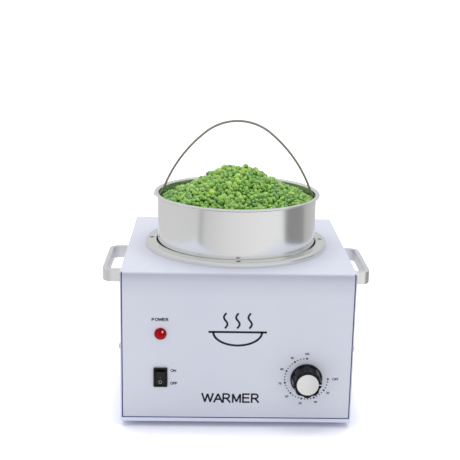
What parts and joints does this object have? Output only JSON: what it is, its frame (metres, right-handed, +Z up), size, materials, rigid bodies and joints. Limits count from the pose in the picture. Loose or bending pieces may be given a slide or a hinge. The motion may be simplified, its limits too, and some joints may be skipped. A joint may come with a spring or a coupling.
{
  "type": "wax warmer pot",
  "caption": "Square heated housing with a lift-out round wax pot on a wire bail, a thermostat knob, a rocker switch, a signal lamp and two side handles.",
  "frame": {"origin": "on the ground, in the middle of the overall footprint, from the knob's face at the front to the mains inlet's flange at the back", "axes": "+Z up; -Y is the front, with the knob, lamp and switch; +X is the user's right when facing the front"},
  "size_m": [0.304, 0.2694, 0.3195],
  "materials": {
    "powder_white": "fine satin powder coat, cool white",
    "spun_aluminium": "spun and satin polished",
    "plain_steel": "zinc plated",
    "bail_wire": "drawn wire, dull",
    "black_gloss": "moulded, glossy",
    "black_matt": "moulded, fine grain",
    "cap_silver": "brushed, clear coated",
    "red_lens": "clear red moulding",
    "green_wax": "translucent beads",
    "foot_rubber": "plain",
    "mineral_wool": "felted",
    "brass": "plain",
    "white_nylon": "plain",
    "live_insulation": "heat proof sleeve",
    "neutral_insulation": "heat proof sleeve",
    "earth_insulation": "heat proof sleeve"
  },
  "bodies": {
    "housing": {"base_tray": "powder_white", "cover_shell": "powder_white", "cover_screws": "plain_steel", "foot_front_left": "foot_rubber", "foot_front_right": "foot_rubber", "foot_rear_left": "foot_rubber", "foot_rear_right": "foot_rubber", "foot_screws": "plain_steel", "foot_nuts": "plain_steel", "left_handle": "spun_aluminium", "right_handle": "spun_aluminium", "handle_screws": "plain_steel", "pot_ring": "spun_aluminium", "ring_screws": "plain_steel", "ring_nuts": "plain_steel", "heating_well": "spun_aluminium", "band_heater": "plain_steel", "band_clamp_screw": "plain_steel", "heater_posts": "white_nylon", "well_blanket": "mineral_wool", "thermal_cutout": "white_nylon", "disc_insulation": "mineral_wool", "support_plate": "plain_steel", "plate_pillars": "plain_steel", "thermostat_probe": "brass", "capillary_tube": "brass", "probe_clips": "plain_steel", "thermostat_body": "black_matt", "thermostat_nut": "plain_steel", "lamp_lens": "red_lens", "lamp_body": "white_nylon", "lamp_clip": "plain_steel", "switch_frame": "black_matt", "mains_inlet": "black_matt", "inlet_pins": "brass", "inlet_screws": "plain_steel", "inlet_nuts": "plain_steel", "terminal_block": "white_nylon", "earth_stud": "brass", "spade_terminals": "brass", "live_wires": "live_insulation", "neutral_wires": "neutral_insulation", "lamp_leads": "live_insulation", "earth_wire": "earth_insulation"},
    "pot": {"pot": "spun_aluminium", "wax": "green_wax"},
    "bail": {"bail": "bail_wire"},
    "knob": {"knob": "black_gloss", "knob_cap": "cap_silver", "thermostat_shaft": "brass"},
    "rocker": {"rocker": "black_matt"}
  },
  "joints": [
    {"name": "pot_lift", "type": "slide", "parent": "housing", "child": "pot", "axis": [0, 0, 1], "range_m": [-0.048, 0.06]},
    {"name": "bail_swing", "type": "hinge", "parent": "pot", "child": "bail", "pos_m": [0, 0.00725, 0.2325], "axis": [1, 0, 0], "range_deg": [-60, 60]},
    {"name": "knob_turn", "type": "hinge", "parent": "housing", "child": "knob", "pos_m": [0.0752, -0.11775, 0.0572], "axis": [0, 1, 0], "range_deg": [0, 270]},
    {"name": "rocker_tilt", "type": "hinge", "parent": "housing", "child": "rocker", "pos_m": [-0.0821, -0.11675, 0.0578], "axis": [1, 0, 0], "range_deg": [0, 22]}
  ]
}
